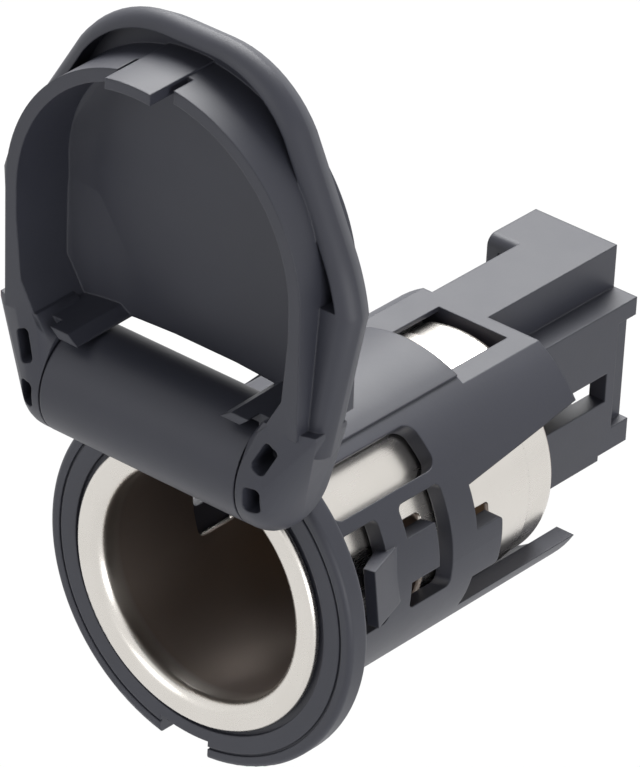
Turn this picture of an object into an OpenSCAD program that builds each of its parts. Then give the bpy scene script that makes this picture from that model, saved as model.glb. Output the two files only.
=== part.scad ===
// Twelve volt socket for a car dash, with a hinged lid that stands open.
// A moulded housing clips into a round panel hole and holds a steel shell.
// The socket axis runs along Y: the mouth faces -Y and the wiring end +Y.
// The rear of the flange seats on the panel in the plane y = 0, and the hinge is above.
// Lengths along Y are stated from the lip of the shell, the foremost ring of the mouth.

/* [View] */
// Which piece is drawn

/* [Socket shell] */
// Inner radius of the socket bore
bore_r = 10.7; // [10.4:0.05:11]
// Thickness of the drawn steel
steel_t = 0.5; // [0.4:0.05:0.7]
// Depth of the shell from its lip to the outside of its end
shell_l = 35.4; // [34:0.1:36]
// Outer radius of the rolled lip
lip_r = 13.3; // [12.8:0.05:13.4]
// Inside radius of the bend between bore and lip
lip_bend_r = 0.7; // [0.5:0.05:0.9]
// Outside radius of the bend round the closed end
shell_end_r = 1; // [0.8:0.05:1.5]
// Distance of the shallow step that narrows the bore behind the lip
bore_step_y = 31; // [30:0.1:31.5]
// Depth of that step
bore_step_t = 0.2; // [0.2:0.01:0.22]
// Distance of the two catch windows behind the lip
catch_y = 12.3; // [11.8:0.1:13]
// Length of the catch windows along the bore
catch_l = 4.9; // [4.5:0.1:5.2]
// Height of the catch windows across the bore
catch_h = 9.2; // [8:0.1:9.6]
// Distance of the small side ports behind the lip
port_y = 21.5; // [20:0.1:22]
// Length of the small side ports
port_l = 4.3; // [3:0.1:5]
// Height of the small side ports
port_h = 1.7; // [1:0.1:2.5]

/* [Flange and sleeve] */
// Outer radius of the flange
flange_r = 16.8; // [16.6:0.05:17.5]
// Distance of the flange face behind the lip
flange_y = 0.63; // [0.5:0.01:0.9]
// Thickness of the flange
flange_t = 2.37; // [2:0.01:3]
// Rounding of the flange edges
flange_round = 0.5; // [0.2:0.05:0.8]
// Radius of the fine groove in the flange face
groove_r = 15.5; // [15:0.05:15.8]
// Width and depth of the fine groove
groove_w = 0.25; // [0.15:0.05:0.4]
// Width of the rebate round the rolled lip
rebate_gap = 0.55; // [0.3:0.05:0.6]
// Width of the notch for the lid catch
notch_w = 5.4; // [5:0.1:7]
// Distance from the axis to the floor of that notch
notch_r = 15; // [14.6:0.05:15.2]
// Outer radius of the sleeve
sleeve_r = 13.15; // [13.05:0.05:13.3]
// Inner radius of the sleeve
sleeve_bore_r = 11.5; // [11.4:0.05:11.6]
// Height by which the top band stands above the sleeve
band_h = 0.2; // [0.1:0.05:0.3]
// Angle at which the top band starts on each side
band_angle = 64; // [62:1:70]

/* [Sleeve windows] */
// Where the side windows start behind the lip
window_y = 5.7; // [5.2:0.1:6]
// Where the upper side window ends
upper_end_y = 19.2; // [17.6:0.1:19.4]
// Lower edge of the upper side window
upper_from_angle = 38.5; // [38:0.5:40]
// Upper edge of the upper side window
upper_to_angle = 58; // [50:0.5:59]
// Corner radius of the side windows
window_round = 1.2; // [0.5:0.1:1.5]
// Where the claw window ends
claw_end_y = 10.3; // [10:0.1:10.8]
// Lower edge of the claw window and of the catch slot
lower_from_angle = -9.8; // [-11:0.1:-8]
// Upper edge of the claw window and of the catch slot
lower_to_angle = 33; // [31:0.5:34]
// Where the catch slot starts
slot_y = 13.1; // [12.9:0.1:13.4]
// Where the catch slot ends
slot_end_y = 18.6; // [18.2:0.1:19]
// Free end of the catch tongue inside the slot
tongue_end_y = 16.8; // [16:0.1:17]
// Lower edge of the catch tongue
tongue_from_angle = 2; // [0:1:4]
// Upper edge of the catch tongue
tongue_to_angle = 20; // [18:1:22]

/* [Panel claws] */
// Where the claws grow out of the sleeve
claw_root_y = 11.2; // [10.9:0.1:11.6]
// Free end of the claws, which grips the panel
claw_tip_y = 6.7; // [6.4:0.1:7.2]
// Height of the free end above the sleeve
claw_rise = 1.5; // [1:0.1:1.6]
// Thickness of the claws
claw_t = 1.3; // [1:0.1:1.5]
// Lower edge of the claws
claw_from_angle = -3; // [-5:1:0]
// Upper edge of the claws
claw_to_angle = 20; // [16:1:23]

/* [Sleeve rear] */
// Rear edge of the sleeve at its sides
sleeve_end_y = 21.9; // [21:0.1:23]
// Rear edge of the short side step
step_end_y = 25.3; // [24:0.1:26]
// Lower edge of the short side step
step_from_angle = -13; // [-15:1:-10]
// Upper edge of the short side step
step_to_angle = 8; // [6:1:10]
// Height of the lower edge of the top tongue where it starts
top_low_z = 5.8; // [5:0.1:6.5]
// Rise of that edge for each millimetre rearwards
top_low_slope = 0.095; // [0.05:0.005:0.12]
// Length of the top tongue behind the end of the shell
top_tail = 2.1; // [1.8:0.1:2.4]
// Height of the flat on the top tongue
flat_z = 11.45; // [11.4:0.05:11.7]
// Length of that flat in front of the end of the shell
flat_lead = 8.3; // [7.5:0.1:9]
// Width of the window in the flat
flat_window_w = 7.65; // [6:0.05:8]
// Offset of that window to the side
flat_window_x = 0.43; // [0:0.01:0.6]
// Length of that window behind the end of the shell
flat_window_tail = 0.5; // [0.3:0.1:0.8]
// Angle below the middle at which the bottom trough ends on each side
trough_angle = 29; // [26:1:34]
// Length of the bottom trough behind the end of the shell
trough_tail = 2.6; // [1.8:0.1:3]

/* [Plug shroud] */
// Left side of the shroud
shroud_left_x = -8.4; // [-9:0.1:-8]
// Right side of the shroud
shroud_right_x = 3.5; // [3:0.1:4]
// Top of the shroud
shroud_top_z = 7.2; // [7:0.1:7.6]
// Bottom of the shroud
shroud_low_z = -8.1; // [-8.6:0.1:-7.8]
// Distance of its front edge behind the end of the shell
shroud_gap = 1.5; // [1.4:0.1:1.7]
// Length of the shroud
shroud_l = 18.85; // [17.5:0.05:20]
// Thickness of its side walls
shroud_wall = 1.8; // [1.4:0.1:2]
// Thickness of its top and bottom walls
shroud_floor = 1.6; // [1.2:0.1:2]
// Depth of the pocket in front of the wall that carries the blades
front_pocket_l = 1.8; // [1.7:0.1:2.4]
// Thickness of the wall that carries the blades
rear_wall_t = 1.8; // [1.4:0.1:2.2]
// Left side of the arm above the shroud
arm_left_x = -5.45; // [-6:0.05:-5]
// Right side of the arm above the shroud
arm_right_x = 0.85; // [0.5:0.05:1.2]
// Thickness of the arm walls
arm_wall = 1.3; // [1:0.1:1.6]
// Length of the hook beside the arm
hook_l = 6.85; // [5.5:0.05:7.5]
// Corner radius of the hook
hook_round = 1; // [0.5:0.1:1.5]
// Lower edge of the latch window in the right side
latch_low_z = -2.1; // [-2.4:0.1:-1.8]
// Upper edge of the latch window
latch_top_z = 0.8; // [0.5:0.1:1.2]
// Distance of the latch window behind the front edge of the shroud
latch_lead = 4.6; // [4.2:0.1:6]
// Length of the latch window
latch_l = 10.6; // [9:0.1:11]
// Length of the recess along the rear edge of the right side
recess_l = 2.45; // [2:0.05:2.8]
// Depth of that recess
recess_t = 0.95; // [0.6:0.05:1.1]
// Upper end of that recess
recess_top_z = 5.4; // [5:0.1:5.8]
// Lower end of that recess
recess_low_z = -5.3; // [-5.6:0.1:-4.6]
// Length of the raised heel under the rear of the shroud
heel_l = 4.05; // [3:0.05:5]
// Height of that step
heel_h = 0.5; // [0.3:0.05:0.7]

/* [Contacts] */
// Radius of the hole in the end of the shell
end_hole_r = 2.6; // [2.4:0.05:2.8]
// Radius of the inner insulator
insulator_r = 7.6; // [7:0.1:7.9]
// Thickness of the inner insulator
insulator_t = 1.2; // [1:0.1:1.6]
// Radius of the centre contact
contact_r = 5.2; // [4.5:0.1:6]
// Thickness of the contact brass and of the blades
brass_t = 0.8; // [0.6:0.05:0.8]
// Height of the bent rim of the centre contact
contact_rim_h = 0.7; // [0.5:0.1:0.9]
// Radius of the rivet shank
rivet_r = 1.2; // [1:0.05:1.4]
// Radius of the rivet head
rivet_head_r = 2.6; // [2.2:0.1:3]
// Height of the rivet head
rivet_head_h = 0.8; // [0.6:0.1:1]
// Radius of the flared rivet end
rivet_flare_r = 1.6; // [1.5:0.05:1.65]
// Height of the flared rivet end
rivet_flare_h = 0.6; // [0.5:0.1:0.8]
// Radius of the outer insulating washer
washer_r = 4.3; // [4:0.1:4.5]
// Thickness of the outer insulating washer
washer_t = 0.6; // [0.5:0.05:0.65]
// Radius of the eyelet on the positive blade
eyelet_r = 3.2; // [3:0.1:3.6]
// Width of the blades
blade_w = 4.8; // [4.6:0.1:4.9]
// Sideways position of the blades
blade_x = -3; // [-3.2:0.05:-2.8]
// Height of the middle of the positive blade
positive_z = 2.4; // [2.4:0.05:2.6]
// Height of the middle of the earth blade
earth_z = -3.3; // [-3.4:0.05:-3.2]
// Distance of the blade tips inside the open end of the shroud
blade_inset = 3.15; // [2.3:0.05:4.7]
// Length of the chamfers at the tip of the blades
blade_chamfer = 1; // [0.5:0.1:1.4]
// Radius of the detent hole in the blades
detent_r = 0.7; // [0.5:0.05:0.9]
// Lowest point of the earth foot on the end of the shell
foot_low_z = -7.6; // [-7.8:0.1:-7]
// Top of the earth foot
foot_top_z = -4.8; // [-5:0.1:-4.7]
// Right edge of the earth foot
foot_right_x = 1.2; // [0:0.1:3]
// Sideways clearance of parts set in the moulding
set_gap = 0.05; // [0.03:0.01:0.08]

/* [Hinge] */
// Distance of the hinge axis from the lip plane
hinge_y = -3.2; // [-3.3:0.05:-3.1]
// Height of the hinge axis above the socket axis
hinge_z = 17.87; // [17.8:0.01:18.2]
// Radius of the hinge barrel
barrel_r = 5.12; // [5:0.02:5.2]
// Half length of the hinge barrel
barrel_half_l = 10.6; // [10.2:0.1:10.8]
// Radius of the wide bore that takes the spring
spring_bore_r = 3.9; // [3.7:0.05:4]
// Sideways position of the floor of that bore
spring_floor_x = 6.4; // [5.5:0.1:7]
// Radius of the narrow bore
trunnion_bore_r = 2.05; // [1.8:0.05:2.3]
// Running clearance of the hinge
hinge_gap = 0.05; // [0.03:0.01:0.08]
// Length of the lid trunnions
trunnion_l = 2.9; // [2:0.1:3.2]
// Top of the neck that carries the barrel
neck_top_z = 19.9; // [19:0.1:20.3]
// Wire diameter of the torsion spring
wire_d = 0.7; // [0.5:0.05:0.8]
// Mean coil radius of the torsion spring
coil_r = 3; // [2.8:0.05:3.1]
// Number of turns
coil_turns = 9; // [6:1:11]

/* [Lid] */
// Radius of the side curve of the lid
lid_side_r = 19.6; // [19.2:0.05:20]
// Distance from the hinge to the centre of that curve
lid_side_u = 13.1; // [12.8:0.1:14]
// Angle of the side curve at which its straight lower flank starts
flank_angle = 13; // [13:1:14]
// Sideways position of the foot of that flank
flank_low_x = 17.2; // [16.8:0.1:17.4]
// Distance from the hinge to the lower end of the dome
dome_low_u = 4.2; // [3.8:0.1:4.8]
// Distance from the hinge to the tip of the lid
lid_l = 36.8; // [36.3:0.1:37.5]
// Radius of the two tip corners as a share of the side curve
lid_tip_share = 0.59; // [0.54:0.01:0.62]
// Sideways position of the centre of the tip corners
lid_tip_x = 2.4; // [2:0.1:3]
// Depth of the rim at the hinge
rim_w = 2.7; // [2.4:0.1:2.9]
// Angle by which the rim falls away towards the tip
rim_fall_angle = 5; // [4.4:0.1:5.4]
// Width of the rim
rim_t = 1.5; // [1.3:0.1:1.8]
// Size of the rounding of the rim
rim_round = 1.6; // [1.4:0.1:1.8]
// Depth of the dome below the rounding of the rim
dome_h = 5.4; // [4.9:0.1:5.6]
// Fullness of the dome: 2 gives an ellipse, more a squarer section
dome_power = 2.2; // [2:0.1:2.6]
// Thickness of the wall of the dome
dome_wall = 1.2; // [1:0.1:1.4]
// Depth of the flat inner panel
panel_w = -3.6; // [-3.8:0.1:-3.4]
// Depth of the channel between rim and skirt
channel_w = -2; // [-2.1:0.1:-1.6]
// Depth of the free edge of the skirt
skirt_w = 3.6; // [3.3:0.05:3.7]
// Inner radius of the skirt
skirt_bore_r = 14.7; // [14.5:0.05:14.9]
// Outer radius of the skirt
skirt_r = 15.9; // [15.7:0.05:16.1]
// Distance from the hinge to the lower edge of the inner panel
panel_low_u = 5.4; // [5.2:0.1:5.8]
// Lean of the open lid towards the mouth
lean_angle = 2; // [0:0.5:4]
// Radius of the ear cheeks round the hinge
cheek_r = 5.1; // [4.9:0.05:5.2]
// Gap between ear cheek and barrel end
cheek_gap = 0.2; // [0.1:0.05:0.3]
// Thickness of the ears beside the barrel
ear_t = 3.2; // [3.1:0.1:3.5]
// Rounding of the outer edges of the ears
ear_round = 2.4; // [1.6:0.1:2.5]
// Distance from the hinge to where the ears reach the legs of the skirt
ear_u = 6.2; // [5.8:0.1:7]
// Depth of the back of the ears at the hinge
ear_back_w = -3.2; // [-3.4:0.1:-3]
// Slope of the back of the ears
ear_back_angle = 6; // [4:1:8]
// Clearance round the flange when the lid is shut
flange_gap = 0.3; // [0.2:0.05:0.5]
// Sideways position of the catch finger and its notch
finger_x = -0.8; // [-1.2:0.1:1.2]
// Width of the catch finger
finger_w = 4.8; // [4.4:0.1:5]
// Inner radius of the catch finger
finger_bore_r = 15.1; // [15.1:0.05:15.3]
// Thickness of the catch finger
finger_t = 1; // [0.8:0.05:1.2]
// Depth of the free end of the catch finger
finger_end_w = 5.8; // [5.4:0.1:6]
// Depth of the root of the catch finger
finger_root_w = 1.2; // [0.5:0.1:2]
// Width of the slots beside the catch finger
finger_slot_w = 0.6; // [0.4:0.05:0.8]

/* [Ear pockets] */
// Width of the core pockets in the ears
pocket_w = 1.5; // [1.3:0.1:1.6]
// Length of the upper core pockets
pocket_upper_l = 2.9; // [2.4:0.1:3.1]
// Slant of the upper core pockets
pocket_slant_angle = 25; // [15:1:30]
// Length of the lower core pockets
pocket_lower_l = 2.4; // [2:0.1:2.6]
// Sideways position of the upper core pockets
pocket_upper_x = 13.1; // [12.9:0.1:13.3]
// Sideways position of the lower core pockets
pocket_lower_x = 12.3; // [12.1:0.1:12.4]
// Distance of the upper core pockets from the hinge
pocket_upper_u = 3.7; // [3.4:0.1:3.9]
// Distance of the lower core pockets from the hinge
pocket_lower_u = -0.3; // [-0.5:0.1:0]
// Corner radius of the core pockets
pocket_round = 0.5; // [0.3:0.05:0.6]
// Depth of the floor of the core pockets
pocket_floor_w = 1.8; // [1.5:0.1:2.5]

/* [Hidden] */

// Common overrun of every cut
over = 1;
// Span of anything that has to reach right through
reach = 60;

// Outer radius of the shell and of the bend at its lip
shell_r = bore_r + steel_t;
lip_turn_r = lip_bend_r + steel_t;
// Thickness of the rolled bead round the lip
bead_t = 2 * steel_t;
// Rear face of the flange and floor of its rebate
flange_end_y = flange_y + flange_t;
rebate_y = bead_t + set_gap;
rebate_r = lip_r + rebate_gap;

// Stack of parts on the end of the shell, from the inside out
end_y = shell_l - steel_t;
insulator_y = end_y - insulator_t;
contact_y = insulator_y - brass_t / 2;
head_y = contact_y - rivet_head_h;
washer_y = shell_l + washer_t;
eyelet_y = washer_y + brass_t;
flare_y = eyelet_y + rivet_flare_h;

// Places along the sleeve and the shroud that follow the end of the shell
flat_y = shell_l - flat_lead;
flat_window_end_y = shell_l + flat_window_tail;
top_end_y = shell_l + top_tail;
trough_end_y = shell_l + trough_tail;
shroud_y = shell_l + shroud_gap;
rear_wall_y = shroud_y + front_pocket_l;
shroud_end_y = shroud_y + shroud_l;
latch_y = shroud_y + latch_lead;
latch_end_y = latch_y + latch_l;
hook_y = shroud_end_y - hook_l;
recess_y = shroud_end_y - recess_l;
heel_y = shroud_end_y - heel_l;
blade_end_y = shroud_end_y - blade_inset;

// Faces of the blades
blade_left_x = blade_x - brass_t / 2;
blade_right_x = blade_x + brass_t / 2;

// Free ends of the barrel bores and faces of the ear cheeks
cheek_x = barrel_half_l + cheek_gap;
hub_end_x = cheek_x - trunnion_l;
spring_l = hub_end_x + spring_floor_x - 4 * set_gap;
spring_leg_l = trunnion_l / 2;

// Inner edge of the legs of the skirt where they meet the ears
leg_low_x = cheek_x + ear_t / 2;
// Outer faces of the ears and end of the hubs inside them
ear_x = cheek_x + ear_t;
hub_root_x = cheek_x + ear_t / 8;

// Tip corners of the lid and the angle at which they meet the side curve
lid_tip_r = lid_side_r * lid_tip_share;
lid_tip_u = lid_l - lid_tip_r;
tip_span = norm([lid_tip_x, lid_tip_u - lid_side_u]);
tip_slope = max(-1, (lid_tip_r - lid_side_r) / tip_span);
tip_angle = atan2(lid_side_u - lid_tip_u, -lid_tip_x) + acos(tip_slope);

// Sections of the dome as shares of its width, and steps of the rounding of the rim
dome_width_shares = [1, 0.97, 0.91, 0.81, 0.66, 0.45, 0.2];
rim_steps = 4;
// Thin skin that stands for a section when sections are joined
skin = steel_t / 10;

// Steps of the curves in the lid outline
arc_steps = 12;
$fn = 72;

// Colours
plastic = [0.2, 0.2, 0.22];
plated_steel = [0.85, 0.83, 0.8];
brass = [0.8, 0.66, 0.35];
card = [0.55, 0.42, 0.3];
spring_steel = [0.6, 0.6, 0.62];

// Placing: extrude a drawing in x and z along Y
module along(y_from, y_to) {
  translate([0, y_to, 0])
    rotate([90, 0, 0])
      linear_extrude(height = y_to - y_from)
        children();
}

// Placing: extrude a drawing in y and z along X
module across(x_from, x_to) {
  translate([x_from, 0, 0])
    rotate([90, 0, 90])
      linear_extrude(height = x_to - x_from)
        children();
}

// Placing: turn a profile of radius and y round the socket axis
module turned() {
  rotate([-90, 0, 0])
    rotate_extrude()
      children();
}

// Placing: from the lip plane to the plane of the panel
module seated() {
  translate([0, -flange_end_y, 0])
    children();
}

// Round bar along the socket axis
module rod(y_from, y_to, r) {
  translate([0, y_from, 0])
    rotate([-90, 0, 0])
      cylinder(h = y_to - y_from, r = r);
}

// Round bar parallel to the hinge
module cross_rod(x_from, x_to, r) {
  translate([x_from, 0, 0])
    rotate([0, 90, 0])
      cylinder(h = x_to - x_from, r = r);
}

// Box between two corners
module block(from, to) {
  translate(from)
    cube(to - from);
}

// Flat rectangle from a corner, with true round corners
module rounded_rect(w, h, r) {
  translate([r, 0])
    square([w - 2 * r, h]);
  translate([0, r])
    square([w, h - 2 * r]);
  for (x = [r, w - r], y = [r, h - r])
    translate([x, y])
      circle(r = r, $fn = 24);
}

// Both sides of the part
module both_sides() {
  children();
  mirror([1, 0, 0])
    children();
}

// Wedge from the axis between two angles
module sector(from_angle, to_angle, r) {
  middle = (from_angle + to_angle) / 2;
  far = r / cos((to_angle - from_angle) / 4);
  polygon([
    [0, 0],
    r * [cos(from_angle), sin(from_angle)],
    far * [cos((from_angle + middle) / 2), sin((from_angle + middle) / 2)],
    r * [cos(middle), sin(middle)],
    far * [cos((to_angle + middle) / 2), sin((to_angle + middle) / 2)],
    r * [cos(to_angle), sin(to_angle)]
  ]);
}

// Cutter for a window that is pulled straight out of the sleeve
module window(y_from, y_to, from_angle, to_angle, r) {
  half = sleeve_r * sin((to_angle - from_angle) / 2);
  rotate([0, -(from_angle + to_angle) / 2, 0])
    translate([bore_r / 2, 0, 0])
      rotate([90, 0, 90])
        linear_extrude(height = sleeve_r)
          translate([y_from, -half])
            rounded_rect(y_to - y_from, 2 * half, r);
}

// Quarter ring of sheet metal round a bend
module bend(inner_r, quarter_x, quarter_y) {
  intersection() {
    difference() {
      circle(r = inner_r + steel_t, $fn = 48);
      circle(r = inner_r, $fn = 48);
    }
    scale([quarter_x, quarter_y])
      square(inner_r + 2 * steel_t);
  }
}

// Profile of the drawn shell: rolled lip, wall, shallow step, end bend and end
module shell_profile() {
  lip_face_r = bore_r + lip_turn_r;
  bead_r = lip_r - steel_t;
  end_inner_r = shell_end_r - steel_t;
  end_bend_r = shell_r - bore_step_t - shell_end_r;
  translate([bore_r, lip_turn_r])
    square([steel_t, bore_step_y + steel_t - lip_turn_r]);
  translate([bore_r - bore_step_t, bore_step_y])
    square([steel_t, shell_l - shell_end_r - bore_step_y]);
  translate([lip_face_r, lip_turn_r])
    bend(lip_bend_r, -1, -1);
  translate([lip_face_r, 0])
    square([bead_r - lip_face_r, steel_t]);
  translate([bead_r, steel_t])
    circle(r = steel_t, $fn = 32);
  translate([end_bend_r, shell_l - shell_end_r])
    bend(end_inner_r, 1, 1);
  translate([end_hole_r, end_y])
    square([end_bend_r - end_hole_r, steel_t]);
}

module socket_shell() {
  color(plated_steel)
    seated()
    difference() {
      turned()
        shell_profile();
      // Catch windows and side ports are punched through both walls
      across(-reach, reach) {
        translate([catch_y, -catch_h / 2])
          rounded_rect(catch_l, catch_h, window_round / 2);
        translate([port_y, steel_t])
          rounded_rect(port_l, port_h, port_h / 4);
      }
    }
}

// Profile of flange and sleeve
module housing_profile() {
  difference() {
    union() {
      translate([sleeve_bore_r, flange_y])
        square([flange_r - flange_round - sleeve_bore_r, flange_t]);
      translate([sleeve_bore_r, flange_y + flange_round])
        square([flange_r - sleeve_bore_r, flange_t - 2 * flange_round]);
      for (y = [flange_y + flange_round, flange_end_y - flange_round])
        translate([flange_r - flange_round, y])
          circle(r = flange_round, $fn = 24);
      translate([sleeve_bore_r, flange_end_y])
        square([sleeve_r - sleeve_bore_r, trough_end_y - flange_end_y]);
    }
    // Rebate for the lip of the shell
    translate([0, -over])
      square([rebate_r, rebate_y + over]);
    // Fine groove in the face
    translate([groove_r, -over])
      square([groove_w, flange_y + groove_w + over]);
  }
}

// Side view of all that is cut away behind the side windows
module rear_cut_profile() {
  rear_y = reach - sleeve_end_y;
  difference() {
    polygon([
      [sleeve_end_y, -sleeve_r * sin(trough_angle)],
      [sleeve_end_y, top_low_z],
      [reach, top_low_z + top_low_slope * rear_y],
      [reach, -sleeve_r * sin(trough_angle)]
    ]);
    // Short side step that is left standing
    step_low_z = sleeve_r * sin(step_from_angle);
    step_h = sleeve_r * sin(step_to_angle) - step_low_z;
    translate([sleeve_end_y - over, step_low_z])
      rounded_rect(step_end_y - sleeve_end_y + over, step_h, hook_round / 2);
  }
}

// Catch slot round its springy tongue
module catch_slot() {
  tongue_half = sleeve_r * sin((tongue_to_angle - tongue_from_angle) / 2);
  difference() {
    window(slot_y, slot_end_y, lower_from_angle, lower_to_angle, window_round / 2);
    rotate([0, -(tongue_from_angle + tongue_to_angle) / 2, 0])
      block([0, 0, -tongue_half], [reach, tongue_end_y, tongue_half]);
  }
}

// Springy claw that grips the panel behind the flange
module claw() {
  middle = (claw_from_angle + claw_to_angle) / 2;
  half = sleeve_r * sin((claw_to_angle - claw_from_angle) / 2);
  tip_r = sleeve_r + claw_rise;
  rotate([0, -middle, 0])
    translate([0, 0, -half])
      linear_extrude(height = 2 * half)
        polygon([
          [sleeve_r - claw_t, claw_root_y + over / 2],
          [sleeve_r - steel_t / 2, claw_root_y + over / 2],
          [sleeve_r, claw_root_y],
          [tip_r, claw_tip_y],
          [tip_r - claw_t, claw_tip_y],
          [sleeve_r - claw_t, claw_root_y - over]
        ]);
}

// Barb that springs into the catch window of the shell
module catch_barb() {
  middle = (tongue_from_angle + tongue_to_angle) / 2;
  barb_half = bore_r * sin((tongue_to_angle - tongue_from_angle) / 4);
  rotate([0, -middle, 0])
    translate([0, 0, -barb_half])
      linear_extrude(height = 2 * barb_half)
        polygon([
          [sleeve_bore_r + steel_t, catch_y + catch_l / 2],
          [sleeve_bore_r + steel_t, tongue_end_y],
          [bore_r + steel_t / 2, tongue_end_y],
          [bore_r + steel_t / 2, tongue_end_y - steel_t],
          [sleeve_bore_r, catch_y + catch_l / 2]
        ]);
}

// Sleeve and flange with all their windows
module sleeve() {
  difference() {
    union() {
      turned()
        housing_profile();
      // Slightly raised band along the top
      intersection() {
        along(flange_end_y - over, flat_y)
          sector(band_angle, 180 - band_angle, flange_r);
        difference() {
          rod(flange_y + over, flat_y, sleeve_r + band_h);
          rod(0, reach, sleeve_bore_r);
        }
      }
    }
    across(-reach, reach)
      rear_cut_profile();
    // Top tongue ends before the bottom trough
    block([-reach, top_end_y, 0], [reach, reach, reach]);
    // Flat on the top tongue and the window in it
    block([-reach, flat_y, flat_z], [reach, reach, reach]);
    translate([flat_window_x - flat_window_w / 2, flat_y + steel_t, 0])
      cube([flat_window_w, flat_window_end_y - flat_y - steel_t, reach]);
    both_sides() {
      window(window_y, upper_end_y, upper_from_angle, upper_to_angle, window_round);
      window(window_y, claw_end_y, lower_from_angle, lower_to_angle, window_round / 2);
      catch_slot();
    }
    // Notch for the lid catch, with its floor round the socket axis
    difference() {
      block([finger_x - notch_w / 2, 0, -reach], [finger_x + notch_w / 2, flange_end_y + over, 0]);
      rod(-over, flange_end_y + 2 * over, notch_r);
    }
  }
  both_sides() {
    claw();
    catch_barb();
  }
}

// Hinge barrel on its neck
module barrel() {
  neck_low_z = rebate_r + set_gap;
  difference() {
    union() {
      translate([0, hinge_y, hinge_z])
        cross_rod(-barrel_half_l, barrel_half_l, barrel_r);
      across(-barrel_half_l, barrel_half_l)
        polygon([
          [flange_y, neck_low_z],
          [flange_y, hinge_z],
          [hinge_y, hinge_z],
          [hinge_y + barrel_r * cos(45), hinge_z + barrel_r * sin(45)],
          [flange_end_y - flange_round, neck_top_z],
          [flange_end_y, neck_top_z - flange_round],
          [flange_end_y, neck_low_z]
        ]);
    }
    translate([0, hinge_y, hinge_z]) {
      cross_rod(-reach, spring_floor_x, spring_bore_r);
      cross_rod(-reach, reach, trunnion_bore_r);
      // Hole for the fixed leg of the spring
      translate([0, 0, coil_r])
        cross_rod(0, spring_floor_x + spring_leg_l + set_gap, wire_d / 2 + set_gap);
    }
  }
}

// Walls of the plug shroud with the arm above it
module shroud() {
  inner_left_x = shroud_left_x + shroud_wall;
  inner_right_x = shroud_right_x - shroud_wall;
  inner_low_z = shroud_low_z + shroud_floor;
  inner_top_z = shroud_top_z - shroud_floor;
  rear_wall_end_y = rear_wall_y + rear_wall_t;
  difference() {
    union() {
      block([shroud_left_x, shroud_y, shroud_low_z], [shroud_right_x, shroud_end_y, shroud_top_z]);
      block([arm_left_x, flat_window_end_y + steel_t, shroud_top_z - steel_t],
            [arm_right_x, shroud_end_y, flat_z]);
      // Hook beside the arm, with a rounded front corner
      across(shroud_left_x, arm_left_x + arm_wall)
        translate([hook_y, 0])
          rounded_rect(hook_l, flat_z, hook_round);
      block([shroud_left_x, shroud_end_y - 2 * hook_round, shroud_top_z], [arm_left_x, shroud_end_y, flat_z]);
    }
    // Front pocket round the stack on the end of the shell
    block([inner_left_x, shroud_y - over, inner_low_z], [inner_right_x, rear_wall_y, inner_top_z]);
    // Space for the plug
    block([inner_left_x, rear_wall_end_y, inner_low_z], [inner_right_x, shroud_end_y + over, inner_top_z]);
    // Hollow of the arm, open to the rear
    block([arm_left_x + arm_wall, rear_wall_end_y, shroud_top_z],
          [arm_right_x - arm_wall, shroud_end_y + over, flat_z - arm_wall]);
    // Hollow of the hook
    block([shroud_left_x + arm_wall, hook_y - over, shroud_top_z],
          [arm_left_x, shroud_end_y - arm_wall, flat_z - arm_wall]);
    // Latch window through both sides
    across(shroud_left_x - over, shroud_right_x + over)
      translate([latch_y, latch_low_z])
        square([latch_end_y - latch_y, latch_top_z - latch_low_z]);
    // Recess between the two rear lugs
    block([shroud_right_x - recess_t, recess_y, recess_low_z],
          [shroud_right_x + over, shroud_end_y + over, recess_top_z]);
    // Raised heel under the rear
    block([shroud_left_x - over, heel_y, shroud_low_z - over],
          [shroud_right_x + over, shroud_end_y + over, shroud_low_z + heel_h]);
    // Slots for the two blades
    for (z = [positive_z, earth_z])
      block([blade_left_x - set_gap, rear_wall_y - over, z - blade_w / 2 - set_gap],
            [blade_right_x + set_gap, rear_wall_end_y + over, z + blade_w / 2 + set_gap]);
  }
  // Bridge from the flat of the tongue to the arm
  intersection() {
    block([arm_left_x - arm_wall, flat_window_end_y, shroud_top_z],
          [-arm_left_x + arm_wall, top_end_y, flat_z]);
    rod(0, reach, sleeve_r);
  }
}

module housing() {
  color(plastic)
  seated() {
    difference() {
      union() {
        sleeve();
        shroud();
      }
      // Room for the rounded end of the shell
      rod(upper_end_y, shell_l + set_gap, sleeve_bore_r);
    }
    barrel();
  }
}

module contact_insulator() {
  color(card)
    seated()
    difference() {
      union() {
        rod(insulator_y, end_y, insulator_r);
        rod(end_y - steel_t, shell_l, end_hole_r - set_gap);
      }
      rod(insulator_y - over, shell_l + over, rivet_r + set_gap);
    }
}

// Stamped cup: a flat disc with a bent rim towards the mouth
module centre_contact() {
  rim_t = brass_t / 2;
  color(brass)
    seated()
    turned() {
      translate([rivet_r + set_gap, contact_y])
        square([contact_r - rivet_r - set_gap, rim_t]);
      translate([contact_r - rim_t, contact_y - contact_rim_h])
        square([rim_t, contact_rim_h]);
    }
}

module contact_rivet() {
  color(brass)
    seated()
    turned() {
      translate([0, head_y])
        square([rivet_head_r - rivet_head_h / 2, rivet_head_h]);
      translate([0, contact_y - rivet_head_h / 2])
        square([rivet_head_r, rivet_head_h / 2]);
      intersection() {
        translate([rivet_head_r - rivet_head_h / 2, contact_y - rivet_head_h / 2])
          circle(r = rivet_head_h / 2, $fn = 32);
        translate([0, head_y])
          square([rivet_head_r, rivet_head_h]);
      }
      translate([0, contact_y - rivet_head_h / 2])
        square([rivet_r, flare_y - contact_y + rivet_head_h / 2]);
      translate([0, eyelet_y])
        square([rivet_flare_r, rivet_flare_h]);
    }
}

module outer_insulator() {
  color(card)
    seated()
    difference() {
      rod(shell_l, washer_y, washer_r);
      rod(shell_l - over, washer_y + over, rivet_r + set_gap);
    }
}

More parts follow.
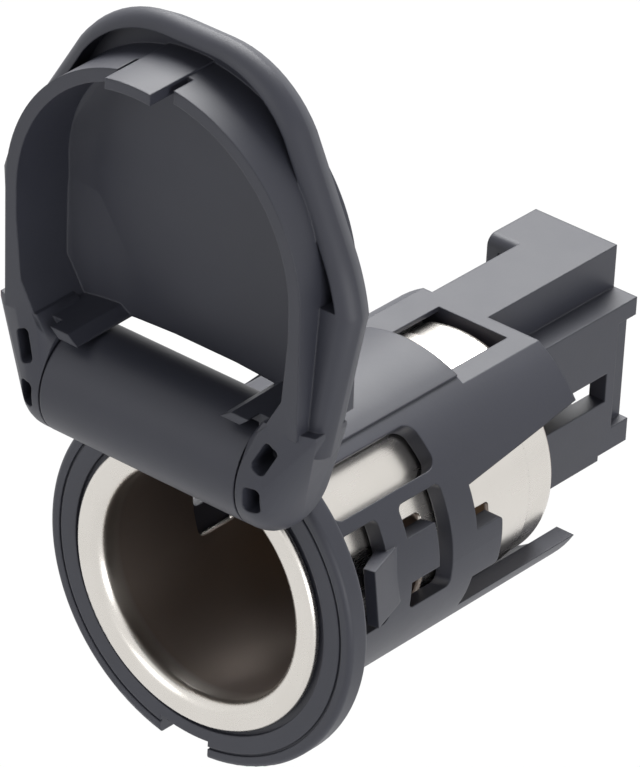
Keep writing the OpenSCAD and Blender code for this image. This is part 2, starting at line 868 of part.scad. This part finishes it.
// Flat plug blade with a chamfered tip and a detent hole
module blade(middle_z, front_y) {
  half = blade_w / 2;
  across(blade_left_x, blade_right_x)
    difference() {
      polygon([
        [front_y, middle_z - half],
        [blade_end_y - blade_chamfer, middle_z - half],
        [blade_end_y, middle_z - half + blade_chamfer],
        [blade_end_y, middle_z + half - blade_chamfer],
        [blade_end_y - blade_chamfer, middle_z + half],
        [front_y, middle_z + half]
      ]);
      translate([blade_end_y - 2 * blade_chamfer - detent_r, middle_z])
        circle(r = detent_r, $fn = 24);
    }
}

module positive_blade() {
  color(brass)
    seated()
    difference() {
      union() {
        rod(washer_y, eyelet_y, eyelet_r);
        block([blade_left_x, washer_y, positive_z - blade_w / 2], [0, eyelet_y, eyelet_r]);
        blade(positive_z, washer_y);
      }
      rod(washer_y - over, eyelet_y + over, rivet_r + set_gap);
    }
}

module earth_blade() {
  color(brass)
  seated() {
    block([blade_left_x, shell_l, foot_low_z + heel_h], [foot_right_x, shell_l + brass_t, foot_top_z]);
    block([blade_left_x, shell_l, earth_z - blade_w / 2], [blade_right_x, rear_wall_y, foot_top_z]);
    blade(earth_z, eyelet_y + brass_t);
  }
}

// Round wire wound as a screw line: the flat section is where a level plane cuts the wire
module coil(length, turns) {
  pitch = length / turns;
  wire_r = wire_d / 2;
  section = [for (a = [0:45:315])
    let (r = coil_r + wire_r * cos(a), turn = 360 * wire_r * sin(a) / pitch)
    [r * cos(turn), r * sin(turn)]];
  linear_extrude(height = length, twist = -360 * turns, slices = 12 * turns, $fn = 8)
    polygon(section);
}

module lid_spring() {
  color(spring_steel)
    seated()
    translate([0, hinge_y, hinge_z]) {
      translate([spring_floor_x - 2 * set_gap - spring_l, 0, 0])
        rotate([0, 90, 0])
          rotate([0, 0, 180])
            coil(spring_l, coil_turns);
      // Straight legs that enter the barrel floor and the lid hub
      translate([0, 0, coil_r]) {
        cross_rod(spring_floor_x - wire_d - 2 * set_gap, spring_floor_x + spring_leg_l, wire_d / 2, $fn = 16);
        cross_rod(-hub_end_x - spring_leg_l, wire_d - hub_end_x + 2 * set_gap, wire_d / 2, $fn = 16);
      }
    }
}

// Points of an arc
function arc(centre, r, from_angle, to_angle) =
  [for (i = [0:arc_steps])
    let (a = from_angle + (to_angle - from_angle) * i / arc_steps)
    centre + r * [cos(a), sin(a)]];

// Right half of the outline of the lid above its flank, drawn inwards by a distance
function lid_curve(inset) =
  let (side = arc([0, lid_side_u], lid_side_r - inset, flank_angle, tip_angle))
  let (tip = arc([lid_tip_x, lid_tip_u], lid_tip_r - inset, tip_angle, 90))
  concat(side, [for (i = [1:len(tip) - 1]) tip[i]]);

// Outline of the lid, drawn inwards by a distance and scaled about its widest place
function lid_outline(inset, width_share) =
  let (right = concat(
    [[(flank_low_x - inset) * width_share, dome_low_u]],
    [for (point = lid_curve(inset)) [point[0] * width_share, lid_side_u + (point[1] - lid_side_u) * width_share]]
  ))
  concat(right, [for (i = [len(right) - 1:-1:0]) [-right[i][0], right[i][1]]]);

// Depth of the dome at a share of its width, as a share of its whole depth
function dome_depth_share(width_share) = pow(1 - pow(width_share, dome_power), 1 / dome_power);

// Shape inside a round skirt with straight legs down to the ears
module skirt_shape(r) {
  translate([0, hinge_z])
    circle(r = r);
  translate([-r, ear_u])
    square([2 * r, hinge_z - ear_u]);
}

// Thin section of the dome at a depth below the rim
module dome_section(depth, inset, width_share) {
  translate([0, 0, -depth])
    linear_extrude(height = skin)
      polygon(lid_outline(inset, width_share));
}

// Back of the dome from the foot of the rim rounding, drawn in by a wall
module dome_back(wall) {
  for (width_share = dome_width_shares)
    dome_section(rim_round + (dome_h - wall) * dome_depth_share(width_share), wall, width_share);
}

// Places what follows in the sloping plane of the rim
module rim_plane() {
  translate([0, 0, rim_w])
    rotate([-rim_fall_angle, 0, 0])
      children();
}

// Outside of the dome with its rounded rim
module lid_dome() {
  rim_plane()
    hull() {
      dome_back(0);
      for (i = [0:rim_steps])
        let (a = 90 * i / rim_steps)
        dome_section(rim_round * (1 - cos(a)) + skin, rim_round * (1 - sin(a)), 1);
    }
}

// Inside of the dome, open towards the mouth
module lid_hollow() {
  rim_plane()
    hull() {
      dome_back(dome_wall);
      dome_section(-reach, dome_wall, 1);
    }
}

// Rounded ear round the hinge that runs up into the leg of the skirt
module ear() {
  difference() {
    hull() {
      rotate([0, 90, 0])
        rotate_extrude() {
          translate([0, cheek_x])
            square([cheek_r, ear_t - ear_round]);
          translate([0, cheek_x])
            square([cheek_r - ear_round, ear_t]);
          translate([cheek_r - ear_round, ear_x - ear_round])
            circle(r = ear_round, $fn = 32);
        }
      block([leg_low_x, ear_u, panel_w + ear_round], [flank_low_x, ear_u + steel_t, rim_w]);
      block([leg_low_x, ear_u, panel_w + ear_round], [skirt_bore_r, ear_u + steel_t, skirt_w]);
    }
    // Sloping back
    translate([0, 0, ear_back_w])
      rotate([ear_back_angle, 0, 0])
        block([0, -reach, -reach], [reach, reach, 0]);
  }
}

// Web that fills the corner between the ear and the leg of the skirt
module leg_shape() {
  leg_top_u = hinge_z - ear_t + steel_t;
  polygon([
    [leg_low_x, ear_u],
    [skirt_bore_r - steel_t, ear_u + ear_t],
    [skirt_bore_r, leg_top_u],
    [skirt_r, leg_top_u],
    [skirt_r, ear_u]
  ]);
}

// Skirt and its legs, slotted beside the catch finger
module skirt() {
  slot_from_x = finger_x - finger_w / 2 - finger_slot_w;
  slot_span = finger_w + 2 * finger_slot_w;
  translate([0, 0, panel_w])
    linear_extrude(height = skirt_w - panel_w) {
      difference() {
        skirt_shape(skirt_r);
        skirt_shape(skirt_bore_r);
        translate([slot_from_x, hinge_z])
          square([slot_span, reach]);
      }
      both_sides()
        leg_shape();
    }
  // Solid foot of the skirt under the catch finger
  translate([0, 0, panel_w])
    linear_extrude(height = finger_root_w - panel_w)
      intersection() {
        difference() {
          skirt_shape(skirt_r);
          skirt_shape(skirt_bore_r);
        }
        translate([slot_from_x - finger_slot_w, hinge_z])
          square([slot_span + 2 * finger_slot_w, reach]);
      }
}

// Shell of the lid with its channel, hinge on the X axis and hollow side up
module lid_shell() {
  difference() {
    lid_dome();
    // Hollow over the inner panel
    intersection() {
      translate([0, 0, panel_w])
        linear_extrude(height = reach)
          difference() {
            skirt_shape(skirt_bore_r);
            both_sides()
              leg_shape();
          }
      lid_hollow();
    }
    // Channel between skirt and rim
    translate([0, 0, channel_w])
      linear_extrude(height = reach)
        difference() {
          polygon(lid_outline(rim_t, 1));
          skirt_shape(skirt_r);
          translate([-reach, -reach])
            square([2 * reach, reach + hinge_z]);
        }
  }
}

// Solid of the lid before hubs are added
module lid_body() {
  difference() {
    union() {
      lid_shell();
      skirt();
      both_sides()
        ear();
    }
    // Opening for the barrel between the ears
    block([-cheek_x, -reach, -reach], [cheek_x, panel_low_u, reach]);
    // Room for the flange when the lid is shut
    translate([0, hinge_z, skirt_w])
      cylinder(h = reach, r = flange_r + flange_gap);
    both_sides()
      ear_pockets();
  }
  // Catch finger
  translate([0, 0, panel_w])
    linear_extrude(height = finger_end_w - panel_w)
      intersection() {
        translate([0, hinge_z])
          difference() {
            circle(r = finger_bore_r + finger_t);
            circle(r = finger_bore_r);
          }
        translate([finger_x - finger_w / 2, hinge_z])
          square([finger_w, reach]);
      }
}

// Core pockets in the face of one ear
module ear_pockets() {
  translate([pocket_upper_x, pocket_upper_u, pocket_floor_w])
    rotate([0, 0, -pocket_slant_angle])
      linear_extrude(height = reach)
        translate([-pocket_w / 2, -pocket_upper_l / 2])
          rounded_rect(pocket_w, pocket_upper_l, pocket_round);
  translate([pocket_lower_x, pocket_lower_u, pocket_floor_w])
    linear_extrude(height = reach)
      translate([-pocket_w / 2, -pocket_lower_l / 2])
        rounded_rect(pocket_w, pocket_lower_l, pocket_round);
}

module lid() {
  color(plastic)
    seated()
    translate([0, hinge_y, hinge_z]) {
      difference() {
        union() {
          rotate([90 + lean_angle, 0, 0])
            lid_body();
          // Wide hub that closes the spring bore, and narrow trunnion
          cross_rod(-hub_root_x, -hub_end_x, spring_bore_r - hinge_gap);
          cross_rod(hub_end_x, hub_root_x, trunnion_bore_r - hinge_gap);
        }
        // Hole for the moving leg of the spring
        translate([0, 0, coil_r])
          cross_rod(-hub_end_x - spring_leg_l - set_gap, 0, wire_d / 2 + set_gap);
      }
    }
}

housing();
socket_shell();
contact_insulator();
centre_contact();
contact_rivet();
outer_insulator();
positive_blade();
earth_blade();
lid_spring();
lid();
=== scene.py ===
# %% [markdown]
# # A twelve volt socket with its lid open
# A dash socket is three things to look at: a black moulding with many small
# windows, a plated steel cup inside it, and a lid that hinges over the mouth.
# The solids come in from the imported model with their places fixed. This script
# gives every surface its finish, winds the hinge spring, and sets the studio.

# %% Load the solids
import math

import bpy
from mathutils import Matrix, Vector


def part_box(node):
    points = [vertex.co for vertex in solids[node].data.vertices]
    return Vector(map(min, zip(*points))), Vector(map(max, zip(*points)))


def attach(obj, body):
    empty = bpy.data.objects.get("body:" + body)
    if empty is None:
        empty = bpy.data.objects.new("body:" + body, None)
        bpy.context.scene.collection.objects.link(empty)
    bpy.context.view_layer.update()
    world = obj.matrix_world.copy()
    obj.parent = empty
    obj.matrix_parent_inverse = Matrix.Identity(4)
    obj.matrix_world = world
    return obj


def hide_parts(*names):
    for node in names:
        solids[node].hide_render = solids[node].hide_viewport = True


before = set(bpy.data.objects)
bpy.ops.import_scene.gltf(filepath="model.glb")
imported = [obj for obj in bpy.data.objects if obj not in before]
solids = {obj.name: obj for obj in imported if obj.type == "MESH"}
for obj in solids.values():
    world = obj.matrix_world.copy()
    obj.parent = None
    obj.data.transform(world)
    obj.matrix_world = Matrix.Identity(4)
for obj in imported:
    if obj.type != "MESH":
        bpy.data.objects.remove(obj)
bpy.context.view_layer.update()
MM = 0.001

# %% [markdown]
# ## Sums written as sums
# A material is a net of nodes, and most of those nodes only add or multiply.
# Wired by hand, a short formula takes a screen of boxes. Here one small class
# holds an output socket and answers to the plain operators, so the net is
# built by an ordinary expression. The reflected forms let a number stand first,
# and share() holds a result between nothing and one, as a mask needs.

# %% A socket that takes part in sums
class Wire:
    def __init__(self, net, socket):
        self.net = net
        self.socket = socket

    def sum(self, operation, first, second):
        node = self.net.node("ShaderNodeMath", {"operation": operation}, {0: first, 1: second})
        return self.net.wire(node)

    def __add__(self, other):
        return self.sum("ADD", self, other)

    def __radd__(self, other):
        return self.sum("ADD", other, self)

    def __sub__(self, other):
        return self.sum("SUBTRACT", self, other)

    def __rsub__(self, other):
        return self.sum("SUBTRACT", other, self)

    def __mul__(self, other):
        return self.sum("MULTIPLY", self, other)

    def __rmul__(self, other):
        return self.sum("MULTIPLY", other, self)

    def __truediv__(self, other):
        return self.sum("DIVIDE", self, other)

    def __pow__(self, other):
        return self.sum("POWER", self, other)

    def at_least(self, other):
        return self.sum("MAXIMUM", self, other)

    def at_most(self, other):
        return self.sum("MINIMUM", self, other)

    def share(self):
        return self.at_least(0.0).at_most(1.0)


# %% A net of nodes for one finish, or for the world
class Net:
    def __init__(self, name, owner=None):
        self.material = owner or bpy.data.materials.new(name)
        self.material.use_nodes = True
        self.tree = self.material.node_tree
        self.tree.nodes.clear()

    def node(self, kind, settings=(), sockets=()):
        made = self.tree.nodes.new(kind)
        for name, value in dict(settings).items():
            if name == "stops":
                for spot, (place, colour) in zip(range(len(value)), value):
                    ramp = made.color_ramp.elements
                    stop = ramp[spot] if spot < len(ramp) else ramp.new(place)
                    stop.position = place
                    stop.color = colour
            else:
                setattr(made, name, value)
        for name, value in dict(sockets).items():
            if isinstance(value, Wire):
                self.tree.links.new(value.socket, made.inputs[name])
            else:
                made.inputs[name].default_value = value
        return made

    def wire(self, node, output=0):
        return Wire(self, node.outputs[output])

    def place(self):
        return self.wire(self.node("ShaderNodeTexCoord"), "Object")

    def noise(self, scale, detail=2.0, place=None, rough=0.5):
        node = self.node("ShaderNodeTexNoise", {}, {
            "Vector": place or self.place(), "Scale": scale, "Detail": detail, "Roughness": rough})
        return self.wire(node, "Fac")

    def blend(self, factor, first, second):
        node = self.node("ShaderNodeMix", {"data_type": "RGBA"}, {0: factor, 6: first, 7: second})
        return self.wire(node, 2)

    def finish(self, **sockets):
        names = {name.replace("_", " "): value for name, value in sockets.items()}
        shader = self.node("ShaderNodeBsdfPrincipled", {}, names)
        self.node("ShaderNodeOutputMaterial", {}, {"Surface": self.wire(shader)})
        return self.material


# %% [markdown]
# ## Black moulded plastic
# The housing and the lid are a black engineering plastic. Its skin is satin: a
# fine spark-eroded grain breaks up each reflection, and no moulded edge is
# quite sharp. The Bevel node rounds the shading at the edges by a fifth of a
# millimetre, which costs no faces, and noise gives the grain under it.

# %% Plastic finish
EDGE = 0.22 * MM
GRAIN_DEPTH = 0.04 * MM
PLASTIC_DEEP = (0.031, 0.033, 0.046, 1.0)
PLASTIC_PALE = (0.046, 0.048, 0.065, 1.0)


def black_plastic():
    net = Net("black_plastic")
    place = net.place()
    grain = net.noise(2600.0, 1.0, place)
    cloud = net.noise(120.0, 3.0, place)
    rub = net.noise(420.0, 4.0, place, 0.6)
    rounded = net.wire(net.node("ShaderNodeBevel", {"samples": 6}, {"Radius": EDGE}))
    bump = net.node("ShaderNodeBump", {}, {
        "Strength": 0.12, "Distance": GRAIN_DEPTH, "Height": grain, "Normal": rounded})
    colour = net.blend(cloud, PLASTIC_DEEP, PLASTIC_PALE)
    return net.finish(
        Base_Color=colour, Roughness=0.40 + cloud * 0.10 + rub * 0.06,
        Normal=net.wire(bump), Specular_IOR_Level=0.5)


plastic = black_plastic()
print("plastic nodes:", len(plastic.node_tree.nodes))

# %% [markdown]
# ## Plated steel
# The cup is drawn from sheet and nickel plated, so it is bright but not a
# mirror. Drawing leaves faint streaks along the cup and the plating leaves
# soft clouds. Both only change the roughness and the colour a little. Inside
# the bore the wall is painted a dark warm brown and made rougher. The brown is
# painted shade, standing in for the shade and dark reflections deep in the bore.
# A mask finds that wall: it asks how far a point lies from the axis and how deep it is.

# %% Steel finish
BORE_RADIUS, FADE = 10.85 * MM, 0.1 * MM
LIP_BEND, BEND_FADE = -2.4 * MM, 2.2 * MM
STREAK_DEPTH = 0.02 * MM
STEEL_DEEP = (0.66, 0.63, 0.585, 1.0)
STEEL_PALE = (0.75, 0.72, 0.68, 1.0)
# painted shade: a dark warm brown put on the bore wall in place of the shade and dark reflections deep
# in the bore
BORE_SHADE_BROWN = (0.28, 0.235, 0.21, 1.0)

def plated_steel():
    net = Net("plated_steel")
    place = net.place()
    drawn_out = net.node("ShaderNodeMapping", {}, {"Vector": place, "Scale": (1.0, 0.03, 1.0)})
    streak = net.noise(5200.0, 1.0, net.wire(drawn_out))
    cloud = net.noise(160.0, 3.0, place)
    bright = net.blend(cloud, STEEL_DEEP, STEEL_PALE)
    parts = net.node("ShaderNodeSeparateXYZ", {}, {0: place})
    across, along, height = (net.wire(parts, spot) for spot in range(3))
    radius = (across * across + height * height) ** 0.5
    inside = ((BORE_RADIUS - radius) / FADE + 1.0).share()
    # painted shade: this mask gives the deep bore wall its painted dark brown, and also more roughness
    bore_shade_mask = inside * ((along - LIP_BEND) / BEND_FADE).share()
    colour = net.blend(bore_shade_mask, bright, BORE_SHADE_BROWN)
    rounded = net.wire(net.node("ShaderNodeBevel", {"samples": 4}, {"Radius": EDGE / 2}))
    bump = net.node("ShaderNodeBump", {}, {
        "Strength": 0.05, "Distance": STREAK_DEPTH, "Height": streak, "Normal": rounded})
    return net.finish(
        Base_Color=colour, Metallic=1.0, Normal=net.wire(bump),
        Roughness=0.22 + cloud * 0.08 + streak * 0.03 + bore_shade_mask * 0.22)


steel = plated_steel()

# %% [markdown]
# ## The small hidden parts
# Contacts and blades are stamped brass, the washers are pressed fibre, and the
# spring is drawn wire. They are seldom seen, yet each has its own surface.

# %% Brass, fibre and wire finishes
SCRATCH_DEPTH, FIBRE_DEPTH = 0.02 * MM, 0.05 * MM
BRASS_DEEP, BRASS_PALE = (0.66, 0.48, 0.20, 1.0), (0.78, 0.60, 0.30, 1.0)
FIBRE_DEEP, FIBRE_PALE = (0.20, 0.12, 0.07, 1.0), (0.36, 0.25, 0.15, 1.0)
WIRE_DEEP, WIRE_PALE = (0.40, 0.40, 0.42, 1.0), (0.56, 0.56, 0.58, 1.0)


def stamped_brass():
    net = Net("stamped_brass")
    cloud = net.noise(300.0, 3.0)
    scratch = net.noise(1800.0, 2.0)
    colour = net.blend(cloud, BRASS_DEEP, BRASS_PALE)
    bump = net.node("ShaderNodeBump", {}, {
        "Strength": 0.08, "Distance": SCRATCH_DEPTH, "Height": scratch})
    return net.finish(
        Base_Color=colour, Metallic=1.0, Roughness=0.22 + cloud * 0.16, Normal=net.wire(bump))


def pressed_fibre():
    net = Net("pressed_fibre")
    fleck = net.noise(1500.0, 5.0, None, 0.7)
    colour = net.blend(fleck, FIBRE_DEEP, FIBRE_PALE)
    bump = net.node("ShaderNodeBump", {}, {
        "Strength": 0.3, "Distance": FIBRE_DEPTH, "Height": fleck})
    return net.finish(Base_Color=colour, Roughness=0.75 + fleck * 0.15, Normal=net.wire(bump))


def spring_wire():
    net = Net("spring_wire")
    cloud = net.noise(900.0, 3.0)
    colour = net.blend(cloud, WIRE_DEEP, WIRE_PALE)
    return net.finish(Base_Color=colour, Metallic=1.0, Roughness=0.28 + cloud * 0.14)


brass = stamped_brass()
fibre = pressed_fibre()
wire = spring_wire()

# %% Give each solid its finish
FINISHES = {
    "housing": plastic, "lid": plastic, "socket_shell": steel,
    "contact_insulator": fibre, "outer_insulator": fibre,
    "centre_contact": brass, "contact_rivet": brass,
    "positive_blade": brass, "earth_blade": brass, "lid_spring": wire,
}
for name, finish in FINISHES.items():
    mesh = solids[name].data
    mesh.materials.clear()
    mesh.materials.append(finish)
print("finished solids:", len(FINISHES))

# %% [markdown]
# ## Trees that make geometry
# Two shapes below follow a rule, so each is a tree of geometry nodes with named
# inputs. The same small helper starts a tree, adds its nodes and closes it.

# %% A geometry tree with named inputs
class Growth:
    def __init__(self, name, inputs):
        self.tree = bpy.data.node_groups.new(name, "GeometryNodeTree")
        for title, kind in inputs.items():
            self.tree.interface.new_socket(title, in_out="INPUT", socket_type="NodeSocket" + kind)
        self.tree.interface.new_socket(
            "Geometry", in_out="OUTPUT", socket_type="NodeSocketGeometry")
        self.given = self.tree.nodes.new("NodeGroupInput").outputs

    def make(self, kind, settings=(), sockets=()):
        made = self.tree.nodes.new(kind)
        for name, value in dict(settings).items():
            setattr(made, name, value)
        for name, value in dict(sockets).items():
            for source in value if isinstance(value, list) else [value]:
                if isinstance(source, bpy.types.NodeSocket):
                    self.tree.links.new(source, made.inputs[name])
                else:
                    made.inputs[name].default_value = source
        return made.outputs[0]

    def close(self, geometry):
        self.tree.links.new(geometry, self.tree.nodes.new("NodeGroupOutput").inputs[0])
        return self.tree


def set_inputs(modifier, values):
    for item in modifier.node_group.interface.items_tree:
        if item.name in values:
            modifier[item.identifier] = values[item.name]


# %% [markdown]
# ## A smooth lid
# The dome of the lid comes in as many flat triangles. A live modifier leaves
# the solid as it is and changes how it is shaded: it joins the corners that
# share a place, shades across every edge that bends only a little, and keeps
# the true corners sharp.

# %% Node tree that shades across shallow edges
def soft_tree():
    soft = Growth("soft_shading", {
        "Geometry": "Geometry", "Join distance": "Float", "Sharp angle": "Float"})
    plain = soft.make("GeometryNodeRemoveAttribute", {}, {
        "Geometry": soft.given["Geometry"], "Name": "custom_normal"})
    joined = soft.make("GeometryNodeMergeByDistance", {}, {
        "Geometry": plain, "Distance": soft.given["Join distance"]})
    smooth = soft.make("GeometryNodeSetShadeSmooth", {}, {"Geometry": joined})
    bend = soft.make("GeometryNodeInputMeshEdgeAngle")
    steep = soft.make("ShaderNodeMath", {"operation": "GREATER_THAN"}, {
        0: bend, 1: soft.given["Sharp angle"]})
    return soft.close(soft.make("GeometryNodeSetShadeSmooth", {"domain": "EDGE"}, {
        "Geometry": smooth, "Selection": steep, "Shade Smooth": False}))


# %% Shade the lid smooth
JOIN_DISTANCE, SHARP_ANGLE = 0.001 * MM, math.radians(31.0)
softener = solids["lid"].modifiers.new("soft_shading", "NODES")
softener.node_group = soft_tree()
set_inputs(softener, {"Join distance": JOIN_DISTANCE, "Sharp angle": SHARP_ANGLE})
print("lid triangles:", len(solids["lid"].data.polygons))

# %% [markdown]
# ## The hinge spring
# A torsion spring in the hinge barrel throws the lid open. It is one wire
# wound at a steady pitch, with a straight leg at each end: one enters the
# barrel, the other the hub of the lid. A wound wire follows a rule, so it is
# made by Geometry Nodes. A spiral is turned to lie along the hinge, two short
# lines are the legs, and one round profile is drawn along all three.

# %% Node tree of a wound wire
SPIRAL_STEPS, WIRE_SIDES = 32, 16


def coil_tree():
    coil = Growth("wound_wire", {
        "Turns": "Float", "Coil radius": "Float", "Wire radius": "Float",
        "Coil length": "Float", "Leg length": "Float", "Finish": "Material"})
    sizes = coil.given

    def place(x, z):
        return coil.make("ShaderNodeCombineXYZ", {}, {"X": x, "Z": z})

    def worked(operation, first, second):
        return coil.make("ShaderNodeMath", {"operation": operation}, {0: first, 1: second})

    half = worked("MULTIPLY", sizes["Coil length"], 0.5)
    back_half = worked("MULTIPLY", half, -1.0)
    outer = worked("ADD", half, sizes["Leg length"])
    back_outer = worked("MULTIPLY", outer, -1.0)
    spiral = coil.make("GeometryNodeCurveSpiral", {}, {
        "Resolution": SPIRAL_STEPS, "Rotations": sizes["Turns"],
        "Start Radius": sizes["Coil radius"], "End Radius": sizes["Coil radius"],
        "Height": sizes["Coil length"]})
    lines = [coil.make("GeometryNodeTransform", {}, {
        "Geometry": spiral, "Translation": place(back_half, 0.0),
        "Rotation": (0.0, math.pi / 2, 0.0)})]
    for start, end in ((half, outer), (back_outer, back_half)):
        lines.append(coil.make("GeometryNodeCurvePrimitiveLine", {}, {
            "Start": place(start, sizes["Coil radius"]),
            "End": place(end, sizes["Coil radius"])}))
    joined = coil.make("GeometryNodeJoinGeometry", {}, {"Geometry": lines})
    round_wire = coil.make("GeometryNodeCurvePrimitiveCircle", {}, {
        "Resolution": WIRE_SIDES, "Radius": sizes["Wire radius"]})
    solid = coil.make("GeometryNodeCurveToMesh", {}, {
        "Curve": joined, "Profile Curve": round_wire, "Fill Caps": True})
    whole = coil.make("GeometryNodeRealizeInstances", {}, {"Geometry": solid})
    return coil.close(coil.make("GeometryNodeSetMaterial", {}, {
        "Geometry": whole, "Material": sizes["Finish"]}))


# %% Wind the spring in the place of the plain one
def grown(name, tree, values):
    seed = bpy.data.objects.new(name + "_seed", bpy.data.meshes.new(name + "_seed"))
    bpy.context.scene.collection.objects.link(seed)
    modifier = seed.modifiers.new("grow", "NODES")
    modifier.node_group = tree
    set_inputs(modifier, values)
    graph = bpy.context.evaluated_depsgraph_get()
    shape = bpy.data.meshes.new_from_object(seed.evaluated_get(graph))
    bpy.data.objects.remove(seed)
    shape.name = name
    piece = bpy.data.objects.new(name, shape)
    bpy.context.scene.collection.objects.link(piece)
    return piece


near, far = [Vector(corner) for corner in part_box("lid_spring")]
COIL_TURNS, WIRE_RADIUS, LEG_LENGTH = 9.0, 0.35 * MM, 2.25 * MM
coil_radius = (far.y - near.y) / 2 - WIRE_RADIUS
coil_length = far.x - near.x - 2 * LEG_LENGTH + 2 * WIRE_RADIUS
spring = grown("hinge_spring", coil_tree(), {
    "Turns": COIL_TURNS, "Coil radius": coil_radius, "Wire radius": WIRE_RADIUS,
    "Coil length": coil_length - 2 * WIRE_RADIUS, "Leg length": LEG_LENGTH, "Finish": wire})
spring.data.transform(Matrix.Translation((near + far) / 2))
spring.data.shade_smooth()
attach(spring, "base")
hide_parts("lid_spring")
print("spring faces:", len(spring.data.polygons), "coil length in mm:", round(coil_length / MM, 2))

# %% [markdown]
# ## The studio
# The catalogue picture has no ground line, so the floor lies well below the
# part and is pale enough to meet the white world. The camera sees the world
# and the floor as white, and so do reflections in plastic and steel, while the
# floor still keeps a little of the shadow.

# %% Floor and world
FLOOR_Z = -75.0 * MM
FLOOR_REACH = 3.0
FLOOR_GREY, WHITE = (0.86, 0.86, 0.86, 1.0), (1.0, 1.0, 1.0, 1.0)
FLOOR_GLOW_SHARE = 0.9


def seen_directly(net):
    path = net.node("ShaderNodeLightPath")
    camera, gloss, glass = (net.wire(path, name) for name in (
        "Is Camera Ray", "Is Glossy Ray", "Is Transmission Ray"))
    return camera.at_least(gloss).at_least(glass)


def pale_floor():
    net = Net("pale_floor")
    seen = seen_directly(net) * FLOOR_GLOW_SHARE
    board = net.wire(net.node("ShaderNodeBsdfDiffuse", {}, {"Color": FLOOR_GREY}))
    glow = net.wire(net.node("ShaderNodeEmission", {}, {"Color": WHITE, "Strength": 1.0}))
    mixed = net.node("ShaderNodeMixShader", {}, {0: seen, 1: board, 2: glow})
    net.node("ShaderNodeOutputMaterial", {}, {"Surface": net.wire(mixed)})
    return net.material


floor_mesh = bpy.data.meshes.new("floor")
corners = [(x * FLOOR_REACH, y * FLOOR_REACH, FLOOR_Z) for x, y in ((-1, -1), (1, -1), (1, 1), (-1, 1))]
floor_mesh.from_pydata(corners, [], [(0, 1, 2, 3)])
floor = bpy.data.objects.new("floor", floor_mesh)
bpy.context.scene.collection.objects.link(floor)
floor_mesh.materials.append(pale_floor())

# %% World
WORLD_LIGHT = 0.18


def white_world():
    world = bpy.data.worlds.new("studio")
    net = Net("studio", world)
    strength = WORLD_LIGHT + seen_directly(net) * (1.0 - WORLD_LIGHT)
    white = net.node("ShaderNodeBackground", {}, {"Color": WHITE, "Strength": strength})
    net.node("ShaderNodeOutputWorld", {}, {"Surface": net.wire(white)})
    return world


bpy.context.scene.world = white_world()
print("world light:", WORLD_LIGHT)

# %% [markdown]
# ## Three soft lamps
# The key stands behind the part, up and to the left, so the top faces are the
# palest. A weaker lamp low on the right lights the flank, and the weakest one
# opens up the flange from the front. All are square and large, so that no
# shadow has a hard edge.

# %% Lamps
MIDDLE = Vector((0.0, 12.0 * MM, 12.0 * MM))


def soft_lamp(name, direction, distance, size, power):
    data = bpy.data.lights.new(name, "AREA")
    data.size = size
    data.energy = power
    lamp = bpy.data.objects.new(name, data)
    bpy.context.scene.collection.objects.link(lamp)
    aim = Vector(direction).normalized()
    lamp.location = MIDDLE + aim * distance
    lamp.rotation_euler = aim.to_track_quat("Z", "Y").to_euler()
    return lamp


key = soft_lamp("key", (-0.55, 0.75, 1.1), 0.6, 0.45, 5.2)
fill = soft_lamp("fill", (1.0, -0.3, -0.15), 0.7, 0.5, 3.6)
front = soft_lamp("front", (-0.2, -1.0, 0.5), 0.8, 0.4, 0.9)
print("lamps:", key.name, fill.name, front.name)

# %% [markdown]
# ## The camera
# The picture was taken with a long lens from the right and above, with a small
# tilt. Three angles and one distance give the place; the focal length is
# stated as a share of the long side of the picture.

# %% Camera
AZIMUTH, ELEVATION, ROLL = (math.radians(angle) for angle in (38.5, 30.28, -3.21))
CAMERA_PLACE = (324.50 * MM, -395.33 * MM, 317.89 * MM)
FOCAL_SHARE = 7113.0 / 767.0
back = Vector((
    math.sin(AZIMUTH) * math.cos(ELEVATION), -math.cos(AZIMUTH) * math.cos(ELEVATION),
    math.sin(ELEVATION)))
level = Vector((math.cos(AZIMUTH), math.sin(AZIMUTH), 0.0))
up = back.cross(level)
right = level * math.cos(ROLL) - up * math.sin(ROLL)
top = level * math.sin(ROLL) + up * math.cos(ROLL)
camera_data = bpy.data.cameras.new("camera")
camera_data.sensor_width = 36.0
camera_data.lens = FOCAL_SHARE * camera_data.sensor_width
camera_data.clip_start, camera_data.clip_end = 0.05, 20.0
camera = bpy.data.objects.new("camera", camera_data)
bpy.context.scene.collection.objects.link(camera)
turn = Matrix((right, top, back)).transposed().to_4x4()
camera.matrix_world = Matrix.Translation(CAMERA_PLACE) @ turn
bpy.context.scene.camera = camera
print("lens in mm:", round(camera_data.lens, 1))

bpy.context.scene.view_settings.view_transform = "Standard"
bpy.context.view_layer.update()
